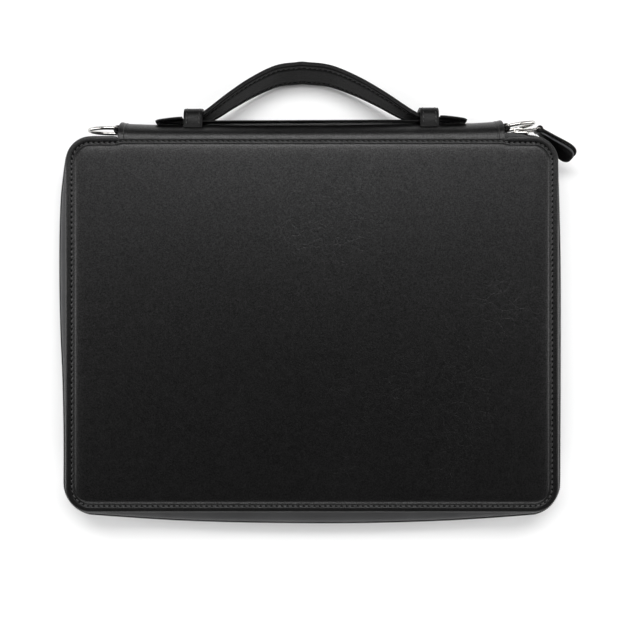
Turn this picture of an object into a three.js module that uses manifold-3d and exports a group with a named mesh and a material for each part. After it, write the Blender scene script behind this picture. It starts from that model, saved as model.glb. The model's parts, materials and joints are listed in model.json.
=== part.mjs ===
// A zip-round leather document case with a strap handle on its spine, lying closed on its back cover.
// Millimetres, +Z up. X runs along the spine, Y points to the handle, and the flat panel of the back
// cover rests on z = 0 with the origin at the middle of the covers.
import * as THREE from "three";
import { mergeVertices } from "three/addons/utils/BufferGeometryUtils.js";
import Module from "manifold-3d";

const wasm = await Module();
wasm.setup();

// The closed case
const CASE_WIDTH = 350;
const CASE_HEIGHT = 267;
const CASE_THICKNESS = 36;
const CORNER_RADIUS = 18;
const GAP = 0.3; // between pieces that lie against each other

// Covers: a padded board in leather, stitched all round inside its rim
const COVER_THICKNESS = 3.6;
const SEAM_INSET = 4.6;

// Zip: two cloth tapes and the coil between them, which stands out past the covers
const TAPE_THICKNESS = 1.2;
const TAPE_INSET = 2.5;
const TAPE_TUCK = 6;
const CHAIN_WIDTH = 6;
const CHAIN_THICKNESS = 2.6;
const BULGE_START = 1.5; // at the spine's left end
const BULGE_END = 2.4; // at the spine's right end, where the slider is parked
const BULGE_SHOULDER = 3.4;
const BULGE_FOOT = 4;
const BULGE_LEFT = 7;
const BULGE_BOTTOM = 10;
const BULGE_RIGHT = 4.4;

// Slider, its link and the leather pull
const SLIDER_LENGTH = 13;
const SLIDER_WIDTH = 11;
const SLIDER_PLATE = 1.4;
const NECK_LENGTH = 2.5;
const BRIDGE_LENGTH = 7;
const BRIDGE_WIDTH = 3.4;
const BRIDGE_WALL = 1.2;
const LINK_LENGTH = 14.3;
const LINK_WIDTH = 15;
const LINK_WIRE = 1.6;
const LINK_RISE = THREE.MathUtils.degToRad(5);
const PULL_LENGTH = 31.2;
const PULL_WIDTH = 15;
const PULL_THICKNESS = 3;
const PULL_FALL = THREE.MathUtils.degToRad(-39);
const PULL_LEAN = THREE.MathUtils.degToRad(42);
const PULL_EYE_WALL = 1.2;
const SLIDER_REST = 0.6; // between the parked slider and the ring's loop

// Spine: one leather wrap from cover to cover, hemmed at both ends
const SPINE_DEPTH = 15.7;
const SPINE_WALL = 2.2;
const SPINE_STEP = 0.5; // how far the wrap lies below the covers' panels
const SPINE_NOTCH = 2.6; // how far the covers step back for the wrap
const NOTCH_RAMP = 2;
const HEM_LENGTH = 4.4;
const HEM_WALL = 0.4;

// D-rings and the leather loops that hold them
const RING_DEPTH = 21.5;
const RING_WIDTH = 22;
const RING_WIRE = 2.6;
const RING_CORNER = 3;
const LOOP_WIDTH = 10;
const LOOP_WALL = 1.5;
const LOOP_TUCK = 7;
const LOOP_CLEARANCE = 0.4;
const LOOP_SEAT_GAP = 0.6;
const RIGHT_RING_SWING = THREE.MathUtils.degToRad(11);

// Handle strap, the stops on its ends and the keepers that it runs through
const HANDLE_RISE = 37.6;
const STRAP_WIDTH = 24;
const STRAP_THICKNESS = 3;
const STRAP_APEX_X = -7.4;
const HANDLE_TILT = THREE.MathUtils.degToRad(7);
const STRAP_LEAN = THREE.MathUtils.degToRad(22);
const KEEPER_X = { left: -85.2, right: 84.2 };
const KEEPER_LENGTH = 13.5;
const KEEPER_WIDTH = 25;
const KEEPER_HEIGHT = 11.5;
const KEEPER_WALL = 2;
const TAIL_LENGTH = 19.3;
const TAIL_WIDTH = 22;
const TAIL_THICKNESS = 1.8;
const TAIL_GAP = 1.2;
const STRAP_END_SETBACK = 2.2;

// Steps of the round shapes
const CORNER_STEPS = 7;
const SIDE_STEPS = 11;
const WRAP_STEPS = 11;
const WIRE_SIDES = 10;
const LINK_SIDES = 6;

const MIDDLE_Z = CASE_THICKNESS / 2;
const SPINE_Y = CASE_HEIGHT / 2 - SPINE_NOTCH + GAP;
const LOOP_BORE = RING_WIRE / 2 + LOOP_CLEARANCE;
const LOOP_RADIUS = LOOP_BORE + LOOP_WALL;
const CORNER_START_X = CASE_WIDTH / 2 - CORNER_RADIUS;
const SPINE_END = CORNER_START_X - SLIDER_LENGTH - SLIDER_REST - 2 * LOOP_RADIUS - GAP;
const SPINE_LENGTH = 2 * SPINE_END;

const LEATHER = { color: 0x1b1a1b, roughness: 0.5, metalness: 0 };
const EDGE_LEATHER = { color: 0x161516, roughness: 0.42, metalness: 0 };
const TAPE_CLOTH = { color: 0x2a2a2c, roughness: 0.85, metalness: 0 };
const COIL_NYLON = { color: 0x101011, roughness: 0.45, metalness: 0 };
const NICKEL = { color: 0xc8c8c6, roughness: 0.22, metalness: 1 };

// Smooth values between the rows of a table: the first column is the place, the others the values
function tableCurve(rows) {
  const places = rows.map((row) => row[0]);
  const values = rows.flatMap((row) => row.slice(1));
  const curve = new THREE.CubicInterpolant(places, values, rows[0].length - 1);
  return (place) => [...curve.evaluate(place)];
}

// The faces of a flat end, which keep the turning sense of its outline
function endFaces(outline) {
  const faces = THREE.ShapeUtils.triangulateShape(outline, []);
  return THREE.ShapeUtils.isClockWise(outline) ? faces.map(([a, b, c]) => [a, c, b]) : faces;
}

// Turns the faces round where they point into the body
function facingOut(geometry) {
  const position = geometry.getAttribute("position");
  const index = geometry.getIndex().array;
  const [a, b, c] = [new THREE.Vector3(), new THREE.Vector3(), new THREE.Vector3()];
  let volume = 0;
  for (let i = 0; i < index.length; i += 3) {
    a.fromBufferAttribute(position, index[i]);
    b.fromBufferAttribute(position, index[i + 1]);
    c.fromBufferAttribute(position, index[i + 2]);
    volume += a.dot(b.cross(c));
  }
  if (volume < 0) index.reverse();
  geometry.computeVertexNormals();
  return geometry;
}

// A body through rings of points: an open row gets flat ends from its first and last outlines
function loft(rings, outline = null, lastOutline = outline) {
  const count = rings[0].length;
  const bands = outline ? rings.length - 1 : rings.length;
  const faces = [];
  for (let i = 0; i < bands; i++) {
    const start = i * count;
    const next = ((i + 1) % rings.length) * count;
    for (let j = 0; j < count; j++) {
      const k = (j + 1) % count;
      faces.push(start + j, start + k, next + k, start + j, next + k, next + j);
    }
  }
  if (outline) {
    const last = (rings.length - 1) * count;
    endFaces(outline).forEach(([a, b, c]) => faces.push(c, b, a));
    endFaces(lastOutline).forEach(([a, b, c]) => faces.push(last + a, last + b, last + c));
  }
  const geometry = new THREE.BufferGeometry().setFromPoints(rings.flat());
  return facingOut(geometry.setIndex(faces));
}

function solidOf(geometry) {
  const bare = geometry.clone();
  bare.deleteAttribute("normal");
  bare.deleteAttribute("uv");
  const merged = mergeVertices(bare, 1e-4);
  return new wasm.Manifold(
    new wasm.Mesh({
      numProp: 3,
      vertProperties: new Float32Array(merged.getAttribute("position").array),
      triVerts: new Uint32Array(merged.getIndex().array),
    }),
  );
}

function geometryOf(solid) {
  const { vertProperties, triVerts } = solid.getMesh();
  const geometry = new THREE.BufferGeometry();
  geometry.setAttribute("position", new THREE.BufferAttribute(vertProperties, 3));
  geometry.setIndex(new THREE.BufferAttribute(triVerts, 1));
  geometry.computeVertexNormals();
  return geometry;
}

function addPiece(group, name, geometry, finish) {
  const mesh = new THREE.Mesh(geometry, new THREE.MeshStandardMaterial(finish));
  mesh.name = name;
  group.add(mesh);
  return mesh;
}

// Covers
// The seam runs nearer to the edge along the spine, so each line of the cover steps by its own share
function coverOutline(inset) {
  const halfWidth = CASE_WIDTH / 2 - inset;
  const halfHeight = CASE_HEIGHT / 2 - inset;
  const radius = CORNER_RADIUS - inset;
  const step = SPINE_NOTCH * (1 - (1.5 * inset) / SEAM_INSET);
  const points = [];
  for (let quarter = 0; quarter < 4; quarter++) {
    const sideX = quarter === 0 || quarter === 3 ? 1 : -1;
    const sideY = quarter < 2 ? 1 : -1;
    for (let i = 0; i <= CORNER_STEPS; i++) {
      const angle = ((quarter + i / CORNER_STEPS) * Math.PI) / 2;
      const x = sideX * (halfWidth - radius) + radius * Math.cos(angle);
      const y = sideY * (halfHeight - radius) + radius * Math.sin(angle);
      points.push(new THREE.Vector2(x, y));
    }
    if (quarter > 0) continue;
    points.push(new THREE.Vector2(SPINE_END + NOTCH_RAMP, halfHeight));
    points.push(new THREE.Vector2(SPINE_END, halfHeight - step));
    points.push(new THREE.Vector2(-SPINE_END, halfHeight - step));
    points.push(new THREE.Vector2(-SPINE_END - NOTCH_RAMP, halfHeight));
  }
  return points;
}

// Inset in shares of SEAM_INSET, height from the cover's inner face in shares of COVER_THICKNESS
const COVER_PROFILE = [
  [0.22, 0],
  [0, 0.2],
  [0, 0.6],
  [0.14, 0.8],
  [0.4, 0.88],
  [1, 0.78],
  [1.45, 0.93],
  [2.2, 1],
];

function cover(side) {
  const inner = CASE_THICKNESS / 2 - COVER_THICKNESS;
  const rings = COVER_PROFILE.map(([inset, height]) => {
    const z = MIDDLE_Z + side * (inner + height * COVER_THICKNESS);
    return coverOutline(inset * SEAM_INSET).map((point) => new THREE.Vector3(point.x, point.y, z));
  });
  const [under, panel] = [COVER_PROFILE[0][0], COVER_PROFILE[COVER_PROFILE.length - 1][0]];
  return loft(rings, coverOutline(under * SEAM_INSET), coverOutline(panel * SEAM_INSET));
}

// Zip tapes and chain
// Share of a side's own bulge along it: place from the side's first corner, left, bottom, right
const SWELL = tableCurve([
  [0, 0, 0, 0],
  [0.08, 0.62, 0.3, 0.4],
  [0.22, 1, 0.72, 0.8],
  [0.5, 0.86, 1, 1],
  [0.66, 0.36, 0.93, 0.95],
  [0.85, 0.02, 0.56, 0.5],
  [1, 0, 0, 0],
]);

// Stations along the covers' edge from the spine's left end round to its right end
function edgeStations(tuck) {
  const cornerX = CORNER_START_X;
  const cornerY = CASE_HEIGHT / 2 - CORNER_RADIUS;
  const stations = [];
  const add = (x, y, angle, bulge) => {
    const out = new THREE.Vector2(Math.cos(angle), Math.sin(angle));
    stations.push({ foot: new THREE.Vector2(x, y).addScaledVector(out, CORNER_RADIUS), out, bulge });
  };
  const addCorner = (x, y, quarter, from, to) => {
    for (let i = 0; i <= CORNER_STEPS; i++) {
      const share = i / CORNER_STEPS;
      add(x, y, ((quarter + share) * Math.PI) / 2, THREE.MathUtils.lerp(from, to, share));
    }
  };
  const addSide = (start, end, quarter, from, to, middle, column) => {
    for (let i = 1; i < SIDE_STEPS; i++) {
      const share = i / SIDE_STEPS;
      const base = THREE.MathUtils.lerp(from, to, share);
      const bulge = base + (middle - base) * SWELL(share)[column];
      const place = new THREE.Vector2().lerpVectors(start, end, share);
      add(place.x, place.y, (quarter * Math.PI) / 2, bulge);
    }
  };
  const corners = [
    new THREE.Vector2(cornerX, cornerY),
    new THREE.Vector2(-cornerX, cornerY),
    new THREE.Vector2(-cornerX, -cornerY),
    new THREE.Vector2(cornerX, -cornerY),
  ];
  add(-(SPINE_END - tuck), cornerY, Math.PI / 2, BULGE_START);
  addCorner(-cornerX, cornerY, 1, BULGE_START, BULGE_SHOULDER);
  addSide(corners[1], corners[2], 2, BULGE_SHOULDER, BULGE_FOOT, BULGE_LEFT, 0);
  addCorner(-cornerX, -cornerY, 2, BULGE_FOOT, BULGE_FOOT);
  addSide(corners[2], corners[3], 3, BULGE_FOOT, BULGE_FOOT, BULGE_BOTTOM, 1);
  addCorner(cornerX, -cornerY, 3, BULGE_FOOT, BULGE_FOOT);
  addSide(corners[3], corners[0], 4, BULGE_FOOT, BULGE_END, BULGE_RIGHT, 2);
  addCorner(cornerX, cornerY, 0, BULGE_END, BULGE_END);
  add(SPINE_END - tuck, cornerY, Math.PI / 2, BULGE_END);
  return stations;
}

// A ring of a section at a station: x of the section points out of the case, y points up
function edgeRing(station, section) {
  return section.map((point) => {
    const foot = station.foot.clone().addScaledVector(station.out, point.x);
    return new THREE.Vector3(foot.x, foot.y, point.y);
  });
}

// Tape from cover to chain: way out and way down, in shares of the whole
const TAPE_PROFILE = [
  [0, 0],
  [0.06, 0.26],
  [0.3, 0.5],
  [0.7, 0.7],
  [0.94, 0.85],
  [1, 1],
];

function wallSection(line, thickness) {
  const inner = line.map((point, i) => {
    const before = line[Math.max(i - 1, 0)];
    const after = line[Math.min(i + 1, line.length - 1)];
    const along = after.clone().sub(before).normalize();
    return new THREE.Vector2(point.x - along.y * thickness, point.y + along.x * thickness);
  });
  return [...line, ...inner.reverse()];
}

function zipTape(side) {
  const top = CASE_THICKNESS / 2 - COVER_THICKNESS - GAP;
  const foot = CHAIN_WIDTH / 2 + GAP;
  const section = (bulge) => {
    const line = TAPE_PROFILE.map(([out, down]) => {
      const reach = THREE.MathUtils.lerp(-TAPE_INSET, bulge, out);
      return new THREE.Vector2(reach - TAPE_THICKNESS / 2, -THREE.MathUtils.lerp(top, foot, down));
    });
    const wall = wallSection(line, -TAPE_THICKNESS);
    return wall.map((point) => new THREE.Vector2(point.x, MIDDLE_Z - side * point.y));
  };
  const rings = edgeStations(TAPE_TUCK).map((station) => edgeRing(station, section(station.bulge)));
  return loft(rings, section(BULGE_START));
}

function zipChain() {
  const width = CHAIN_WIDTH / 2;
  const depth = CHAIN_THICKNESS / 2;
  const chamfer = CHAIN_THICKNESS / 4;
  const section = (bulge) =>
    [
      [depth, width - chamfer],
      [depth - chamfer, width],
      [chamfer - depth, width],
      [-depth, width - chamfer],
      [-depth, chamfer - width],
      [chamfer - depth, -width],
      [depth - chamfer, -width],
      [depth, chamfer - width],
    ].map(([x, y]) => new THREE.Vector2(bulge + x, MIDDLE_Z + y));
  const stations = edgeStations(0);
  stations[0].foot.x = -(RING_BAR_X + LOOP_RADIUS + GAP);
  stations[stations.length - 1].foot.x = SLIDER_X - SLIDER_LENGTH / 2 + NECK_LENGTH + 2 * GAP;
  return loft(stations.map((station) => edgeRing(station, section(station.bulge))), section(0));
}

// Spine
// How far the wrap stands out, in shares of SPINE_DEPTH, along SPINE_LENGTH
const SPINE_SAG = tableCurve([
  [0, 0.905],
  [0.05, 0.86],
  [0.15, 0.835],
  [0.5, 0.825],
  [0.75, 0.875],
  [0.92, 0.92],
  [1, 1],
]);

function spineDepth(x) {
  return SPINE_DEPTH * SPINE_SAG((x + SPINE_END) / SPINE_LENGTH)[0];
}

// The wrap's outer height over the case's middle plane, and how far out it stands at a height
const SPINE_HALF = CASE_THICKNESS / 2 - SPINE_STEP;
function spineSurface(x, rise, wall = 0) {
  const half = SPINE_HALF - wall;
  return SPINE_Y + (spineDepth(x) - wall) * Math.sqrt(1 - (rise / half) ** 2);
}

function spineWrap() {
  const hem = HEM_LENGTH / SPINE_LENGTH;
  const edge = GAP / SPINE_LENGTH;
  const places = [0, hem, hem + edge];
  for (let i = 1; i < WRAP_STEPS; i++) places.push(i / WRAP_STEPS);
  places.push(1 - hem - edge, 1 - hem, 1);
  const section = (share) => {
    const depth = SPINE_DEPTH * SPINE_SAG(share)[0];
    const outer = share <= hem || share >= 1 - hem ? HEM_WALL : 0;
    const arc = (wall, reverse) => {
      const points = [];
      for (let i = 0; i <= WRAP_STEPS; i++) {
        const angle = (0.5 - i / WRAP_STEPS) * Math.PI;
        const half = SPINE_HALF + Math.min(-wall, 0);
        const reach = depth - wall;
        points.push(new THREE.Vector2(SPINE_Y + reach * Math.cos(angle), half * Math.sin(angle)));
      }
      return reverse ? points.reverse() : points;
    };
    return [...arc(-outer, false), ...arc(SPINE_WALL, true)];
  };
  const rings = places.map((share) =>
    section(share).map(
      (point) => new THREE.Vector3((share - 0.5) * SPINE_LENGTH, point.x, MIDDLE_Z + point.y),
    ),
  );
  return loft(rings, section(0.5));
}

// D-rings
const RING_BAR_X = SPINE_END + GAP + LOOP_RADIUS;

function ringBarY(side) {
  const inside = spineSurface(side * SPINE_END, LOOP_WIDTH / 2, SPINE_WALL);
  return inside - LOOP_SEAT_GAP - LOOP_WALL;
}

// A round wire along a closed flat path, with the path in the x-y plane
function wireLoop(path, wire, sides) {
  const rings = path.map((point, i) => {
    const before = path[(i + path.length - 1) % path.length];
    const after = path[(i + 1) % path.length];
    const along = after.clone().sub(before).normalize();
    const ring = [];
    for (let j = 0; j < sides; j++) {
      const angle = (j / sides) * Math.PI * 2;
      const reach = (wire / 2) * Math.cos(angle);
      const rise = (wire / 2) * Math.sin(angle);
      ring.push(new THREE.Vector3(point.x + along.y * reach, point.y - along.x * reach, rise));
    }
    return ring;
  });
  return loft(rings);
}

// A D: the straight bar on the y axis, then two short arms and a half ellipse to the tip
function ringPath() {
  const half = (RING_WIDTH + RING_WIRE) / 2 - RING_WIRE / 2;
  const arm = RING_DEPTH * 0.3;
  const shape = new THREE.Path();
  shape.moveTo(0, -half + RING_CORNER);
  shape.lineTo(0, half - RING_CORNER);
  shape.absarc(RING_CORNER, half - RING_CORNER, RING_CORNER, Math.PI, Math.PI / 2, true);
  shape.lineTo(arm, half);
  shape.absellipse(arm, 0, RING_DEPTH - arm, half, Math.PI / 2, -Math.PI / 2, true);
  shape.lineTo(RING_CORNER, -half);
  shape.absarc(RING_CORNER, RING_CORNER - half, RING_CORNER, -Math.PI / 2, -Math.PI, true);
  return shape.getSpacedPoints(36).slice(0, -1);
}

function dRing(side, swing) {
  const geometry = wireLoop(ringPath(), RING_WIRE, WIRE_SIDES);
  geometry.rotateX(Math.PI / 2);
  geometry.rotateZ(side > 0 ? swing : Math.PI - swing);
  return geometry.translate(side * RING_BAR_X, ringBarY(side), MIDDLE_Z);
}

// A leather loop: a round eye on the ring's bar and a doubled strip into the spine
function ringLoop(side) {
  const strip = LOOP_WALL;
  const start = Math.asin(strip / LOOP_RADIUS);
  const shape = new THREE.Shape();
  shape.absarc(0, 0, LOOP_RADIUS, start, Math.PI * 2 - start, false);
  shape.lineTo(RING_BAR_X - SPINE_END + LOOP_TUCK, -strip);
  shape.lineTo(RING_BAR_X - SPINE_END + LOOP_TUCK, strip);
  const eye = new THREE.Path().absarc(0, 0, LOOP_BORE, 0, Math.PI * 2, false);
  shape.holes.push(eye);
  const geometry = new THREE.ExtrudeGeometry(shape, {
    depth: LOOP_WIDTH,
    bevelEnabled: false,
    curveSegments: 14,
  });
  geometry.translate(0, 0, MIDDLE_Z - LOOP_WIDTH / 2);
  if (side > 0) geometry.rotateZ(Math.PI);
  return geometry.translate(side * RING_BAR_X, ringBarY(side), 0);
}

// Slider
const SLIDER_X = CORNER_START_X - SLIDER_LENGTH / 2;
const SLIDER_Y = CASE_HEIGHT / 2 + BULGE_END;
const PLATE_IN = CHAIN_THICKNESS / 2 + GAP;
const PLATE_OUT = PLATE_IN + SLIDER_PLATE;
const BRIDGE_OPENING = LINK_WIRE + 2 * GAP;
const HINGE_Y = SLIDER_Y + PLATE_OUT + BRIDGE_OPENING / 2;

function sliderPlate(depth) {
  const half = SLIDER_LENGTH / 2;
  const width = SLIDER_WIDTH / 2;
  const nose = SLIDER_LENGTH * 0.25;
  const shape = new THREE.Shape();
  shape.moveTo(-half, -width * 0.55);
  shape.quadraticCurveTo(-half + nose / 2, -width, -half + nose, -width);
  shape.lineTo(half - nose / 2, -width);
  shape.quadraticCurveTo(half, -width, half, -width * 0.6);
  shape.lineTo(half, width * 0.6);
  shape.quadraticCurveTo(half, width, half - nose / 2, width);
  shape.lineTo(-half + nose, width);
  shape.quadraticCurveTo(-half + nose / 2, width, -half, width * 0.55);
  const plate = new THREE.ExtrudeGeometry(shape, {
    depth: SLIDER_PLATE,
    bevelEnabled: false,
    curveSegments: 4,
  });
  return plate.rotateX(Math.PI / 2).translate(0, depth + SLIDER_PLATE, 0);
}

function zipSlider() {
  const neck = new THREE.BoxGeometry(NECK_LENGTH, 2 * PLATE_IN + SLIDER_PLATE, CHAIN_WIDTH / 2);
  neck.translate(NECK_LENGTH / 2 - SLIDER_LENGTH / 2, 0, 0);
  const arch = new THREE.Shape();
  const half = BRIDGE_LENGTH / 2;
  const top = BRIDGE_OPENING + BRIDGE_WALL;
  arch.moveTo(-half, -SLIDER_PLATE / 2);
  arch.lineTo(half, -SLIDER_PLATE / 2);
  arch.lineTo(half, top * 0.6);
  arch.quadraticCurveTo(half, top, half * 0.4, top);
  arch.lineTo(-half * 0.4, top);
  arch.quadraticCurveTo(-half, top, -half, top * 0.6);
  const opening = new THREE.Path();
  const reach = half - BRIDGE_WALL;
  opening.moveTo(-reach, 0);
  opening.lineTo(-reach, BRIDGE_OPENING);
  opening.lineTo(reach, BRIDGE_OPENING);
  opening.lineTo(reach, 0);
  arch.holes.push(opening);
  const bridge = new THREE.ExtrudeGeometry(arch, {
    depth: BRIDGE_WIDTH,
    bevelEnabled: false,
    curveSegments: 5,
  });
  bridge.translate(0, PLATE_OUT, -BRIDGE_WIDTH / 2);
  const body = solidOf(sliderPlate(PLATE_IN))
    .add(solidOf(sliderPlate(-PLATE_OUT)))
    .add(solidOf(neck))
    .add(solidOf(bridge));
  return geometryOf(body);
}

// The link is a wire rectangle: one end in the slider's bridge, the other in the pull's eye
function pullLink() {
  const half = (LINK_WIDTH - LINK_WIRE) / 2;
  const corner = LINK_WIRE;
  const shape = new THREE.Path();
  shape.moveTo(0, corner - half);
  shape.lineTo(0, half - corner);
  shape.absarc(corner, half - corner, corner, Math.PI, Math.PI / 2, true);
  shape.lineTo(LINK_LENGTH - corner, half);
  shape.absarc(LINK_LENGTH - corner, half - corner, corner, Math.PI / 2, 0, true);
  shape.lineTo(LINK_LENGTH, corner - half);
  shape.absarc(LINK_LENGTH - corner, corner - half, corner, 0, -Math.PI / 2, true);
  shape.lineTo(corner, -half);
  shape.absarc(corner, corner - half, corner, -Math.PI / 2, -Math.PI, true);
  const path = shape.getPoints(3).filter((point, i, all) => i === 0 || point.distanceTo(all[i - 1]) > 0.01);
  path.pop();
  return wireLoop(path, LINK_WIRE, LINK_SIDES).rotateX(Math.PI / 2);
}

// Pull: place along its length, then width and lean, in shares of PULL_WIDTH and PULL_LEAN
const PULL_SHAPE = [
  [0, 0.72, 0],
  [0.08, 0.76, 0.04],
  [0.16, 0.9, 0.08],
  [0.26, 0.98, 0.15],
  [0.42, 1, 0.35],
  [0.6, 1, 0.66],
  [0.76, 1, 0.9],
  [0.88, 0.93, 1],
  [0.96, 0.74, 1],
  [1, 0.46, 1],
];

function pullTab() {
  const half = PULL_THICKNESS / 2;
  const bore = LINK_WIRE / 2 + GAP;
  const section = (width) => {
    const reach = width / 2;
    const chamfer = PULL_THICKNESS / 5;
    return [
      [half, reach - chamfer],
      [half - chamfer, reach],
      [chamfer - half, reach],
      [-half, reach - chamfer],
      [-half, chamfer - reach],
      [chamfer - half, -reach],
      [half - chamfer, -reach],
      [half, chamfer - reach],
    ].map(([x, y]) => new THREE.Vector2(x, y));
  };
  const rings = PULL_SHAPE.map(([place, width, lean]) => {
    const turn = PULL_LEAN * lean;
    return section(width * PULL_WIDTH).map((point) => {
      const out = point.x * Math.cos(turn) + point.y * Math.sin(turn);
      const up = point.y * Math.cos(turn) - point.x * Math.sin(turn);
      return new THREE.Vector3(bore + place * PULL_LENGTH, out, up);
    });
  });
  const strip = loft(rings, section(PULL_WIDTH));
  const length = PULL_WIDTH * PULL_SHAPE[0][1];
  const barrel = (radius, depth) => {
    const round = new THREE.CylinderGeometry(radius, radius, depth, 20);
    return solidOf(round.rotateX(Math.PI / 2));
  };
  const eye = barrel(bore + PULL_EYE_WALL, length);
  return geometryOf(solidOf(strip).add(eye).subtract(barrel(bore, 2 * length)));
}

// Handle
// Half a strap from its top outwards: place, drop, width, thickness and lean, each a share of its own
// size. The drop is the strap's way down to the spine.
const STRAP_SHAPE = tableCurve([
  [0, 0, 1, 1, 1],
  [0.17, 0.06, 0.98, 1, 1],
  [0.34, 0.27, 0.93, 1, 0.95],
  [0.51, 0.56, 0.84, 1, 0.84],
  [0.62, 0.775, 0.76, 1, 0.72],
  [0.69, 0.89, 0.68, 1, 0.5],
  [0.765, 0.965, 0.63, 0.85, 0.2],
  [0.83, 0.998, 0.63, 0.66, 0],
  [0.9, 1, 0.63, 0.6, 0],
  [1, 1, 0.63, 0.6, 0],
]);
const STRAP_STEPS = 24;
const STRAP_END_SHARE = 0.6;

function tailStart(side) {
  const keeper = side > 0 ? KEEPER_X.right : -KEEPER_X.left;
  return side * (keeper + KEEPER_LENGTH / 2 + TAIL_GAP);
}

function strapEnd(side) {
  return tailStart(side) + side * (TAIL_LENGTH - STRAP_END_SETBACK);
}

// The strap's underside lies on the highest part of the spine below the stop
function strapSeat(side) {
  const places = [strapEnd(side), tailStart(side)];
  return Math.max(...places.map((x) => spineSurface(x, 0))) + GAP;
}

function strapTop() {
  const end = (STRAP_THICKNESS * STRAP_END_SHARE) / 2;
  return (strapSeat(-1) + strapSeat(1)) / 2 + end + HANDLE_RISE;
}

function strapPlace(side, share) {
  const [drop, width, thickness, lean] = STRAP_SHAPE(share);
  const seat = strapSeat(side) + (STRAP_THICKNESS * STRAP_END_SHARE) / 2;
  const y = THREE.MathUtils.lerp(strapTop(), seat, drop);
  const x = THREE.MathUtils.lerp(STRAP_APEX_X, strapEnd(side), share);
  const z = MIDDLE_Z - (y - seat) * Math.tan(HANDLE_TILT);
  const size = { width: width * STRAP_WIDTH, thickness: thickness * STRAP_THICKNESS };
  return { centre: new THREE.Vector3(x, y, z), lean: lean * STRAP_LEAN, ...size };
}

function stripSection(width, thickness) {
  const across = width / 2;
  const deep = thickness / 2;
  const chamfer = thickness / 4;
  return [
    [across, deep - chamfer],
    [across - chamfer, deep],
    [chamfer - across, deep],
    [-across, deep - chamfer],
    [-across, chamfer - deep],
    [chamfer - across, -deep],
    [across - chamfer, -deep],
    [across, chamfer - deep],
  ].map(([x, y]) => new THREE.Vector2(x, y));
}

function handleStrap() {
  const places = [];
  for (let i = STRAP_STEPS; i > 0; i--) places.push(strapPlace(-1, i / STRAP_STEPS));
  for (let i = 0; i <= STRAP_STEPS; i++) places.push(strapPlace(1, i / STRAP_STEPS));
  const rings = places.map((place, i) => {
    const before = places[Math.max(i - 1, 0)].centre;
    const after = places[Math.min(i + 1, places.length - 1)].centre;
    const along = after.clone().sub(before).normalize();
    const across = new THREE.Vector3(0, Math.sin(place.lean), Math.cos(place.lean));
    across.addScaledVector(along, -across.dot(along)).normalize();
    const out = new THREE.Vector3().crossVectors(across, along);
    return stripSection(place.width, place.thickness).map((point) =>
      place.centre.clone().addScaledVector(across, point.x).addScaledVector(out, point.y),
    );
  });
  return loft(rings, stripSection(STRAP_WIDTH, STRAP_THICKNESS));
}

// A stop: a flat leather piece with a round tip, on top of the strap's end
function handleTail(side) {
  const half = TAIL_WIDTH / 2;
  const tip = TAIL_LENGTH - half * 0.8;
  const shape = new THREE.Shape();
  shape.moveTo(0, -half);
  shape.lineTo(tip, -half);
  shape.absellipse(tip, 0, TAIL_LENGTH - tip, half, -Math.PI / 2, Math.PI / 2, false);
  shape.lineTo(0, half);
  const geometry = new THREE.ExtrudeGeometry(shape, {
    depth: TAIL_THICKNESS,
    bevelEnabled: false,
    curveSegments: 12,
  });
  geometry.rotateX(-Math.PI / 2);
  if (side < 0) geometry.rotateY(Math.PI);
  const seat = strapSeat(side) + STRAP_THICKNESS * STRAP_END_SHARE + GAP;
  return geometry.translate(tailStart(side), seat, MIDDLE_Z);
}

// A keeper: a leather arch over the strap, its feet on the spine
function keeper(side) {
  const x = side > 0 ? KEEPER_X.right : KEEPER_X.left;
  const crown = spineSurface(x, 0) + KEEPER_HEIGHT;
  const arch = (wall) => {
    const half = KEEPER_WIDTH / 2 - wall;
    const foot = spineSurface(x, half) + GAP;
    const points = [];
    for (let i = 0; i <= 12; i++) {
      const angle = (i / 12) * Math.PI;
      const across = Math.sign(Math.cos(angle)) * Math.abs(Math.cos(angle)) ** 0.6;
      const up = Math.sin(angle) ** 0.6;
      points.push(new THREE.Vector2(foot + (crown - wall - foot) * up, half * across));
    }
    return points;
  };
  const section = [...arch(0), ...arch(KEEPER_WALL).reverse()];
  const rings = [-0.5, 0.5].map((share) =>
    section.map(
      (point) => new THREE.Vector3(x + share * KEEPER_LENGTH, point.x, MIDDLE_Z + point.y),
    ),
  );
  return loft(rings, section);
}

// The whole case
const documentCase = new THREE.Group();
addPiece(documentCase, "front_board", cover(1), LEATHER);
addPiece(documentCase, "back_board", cover(-1), LEATHER);
addPiece(documentCase, "zip_tape_front", zipTape(1), TAPE_CLOTH);
addPiece(documentCase, "zip_tape_back", zipTape(-1), TAPE_CLOTH);
addPiece(documentCase, "zip_chain", zipChain(), COIL_NYLON);
addPiece(documentCase, "spine_wrap", spineWrap(), LEATHER);
addPiece(documentCase, "ring_tab_left", ringLoop(-1), EDGE_LEATHER);
addPiece(documentCase, "ring_tab_right", ringLoop(1), EDGE_LEATHER);
addPiece(documentCase, "d_ring_left", dRing(-1, 0), NICKEL);
addPiece(documentCase, "d_ring_right", dRing(1, RIGHT_RING_SWING), NICKEL);
addPiece(documentCase, "handle_strap", handleStrap(), EDGE_LEATHER);
addPiece(documentCase, "handle_tail_left", handleTail(-1), EDGE_LEATHER);
addPiece(documentCase, "handle_tail_right", handleTail(1), EDGE_LEATHER);
addPiece(documentCase, "keeper_left", keeper(-1), EDGE_LEATHER);
addPiece(documentCase, "keeper_right", keeper(1), EDGE_LEATHER);

const slider = addPiece(documentCase, "zip_slider", zipSlider(), NICKEL);
slider.position.set(SLIDER_X, SLIDER_Y, MIDDLE_Z);

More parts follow.
